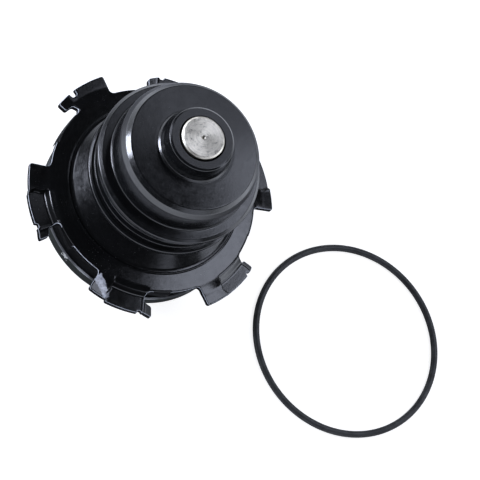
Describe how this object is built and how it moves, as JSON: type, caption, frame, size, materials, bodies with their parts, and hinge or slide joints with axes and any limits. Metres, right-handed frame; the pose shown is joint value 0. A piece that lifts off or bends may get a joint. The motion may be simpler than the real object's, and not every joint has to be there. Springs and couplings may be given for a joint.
{
  "type": "water pump",
  "caption": "Twist-lock cartridge coolant pump: black stamped housing with bayonet tabs, multi-groove belt pulley, sealed bearing shaft, face seal, vaned impeller and a loose O-ring.",
  "frame": {"origin": "on the pump axis, at the upper end of the pilot land that centres the pump in its housing bore", "axes": "+Z along the pump axis from the impeller towards the pulley and shaft tip; +X through the middle of one bayonet tab"},
  "size_m": [0.1657, 0.1427, 0.084],
  "materials": {
    "black_paint": "satin",
    "shaft_steel": "machined",
    "carrier_steel": "satin",
    "bearing_steel": "ground",
    "cage_brass": "satin",
    "seal_rubber": "matte",
    "cup_brass": "satin",
    "spring_steel": "bright",
    "carbon": "lapped",
    "ceramic": "lapped",
    "impeller_steel": "stamped",
    "oring_rubber": "matte"
  },
  "bodies": {
    "housing": {"body_flange": "black_paint", "back_plate": "carrier_steel", "bearing_outer_ring": "bearing_steel", "bearing_front_seal": "seal_rubber", "bearing_rear_seal": "seal_rubber", "seal_cup": "cup_brass", "seal_bellows": "seal_rubber", "seal_spring": "spring_steel", "seal_carbon_ring": "carbon"},
    "rotor": {"pump_shaft": "shaft_steel", "pulley": "black_paint", "slinger": "seal_rubber", "mating_ring": "ceramic", "mating_boot": "seal_rubber", "impeller_hub": "bearing_steel", "impeller_disc": "impeller_steel"},
    "ball_train": {"bearing_balls": "bearing_steel", "ball_cage": "cage_brass"},
    "roller_train": {"bearing_rollers": "bearing_steel", "roller_cage": "cage_brass"},
    "loose_o_ring": {"o_ring": "oring_rubber"}
  },
  "joints": [
    {"name": "shaft_spin", "type": "hinge", "parent": "housing", "child": "rotor", "pos_m": [0, 0, 0.0337], "axis": [0, 0, 1], "continuous": true},
    {"name": "ball_orbit", "type": "hinge", "parent": "housing", "child": "ball_train", "pos_m": [0, 0, 0.0447], "axis": [0, 0, 1], "continuous": true},
    {"name": "roller_orbit", "type": "hinge", "parent": "housing", "child": "roller_train", "pos_m": [0, 0, 0.024], "axis": [0, 0, 1], "continuous": true},
    {"name": "o_ring_lift", "type": "slide", "parent": "housing", "child": "loose_o_ring", "axis": [0, 0, 1], "range_m": [0, 0.12]}
  ],
  "couplings": [
    {"joint": "ball_orbit", "follows": "shaft_spin", "ratio": 0.351},
    {"joint": "roller_orbit", "follows": "shaft_spin", "ratio": 0.396}
  ]
}
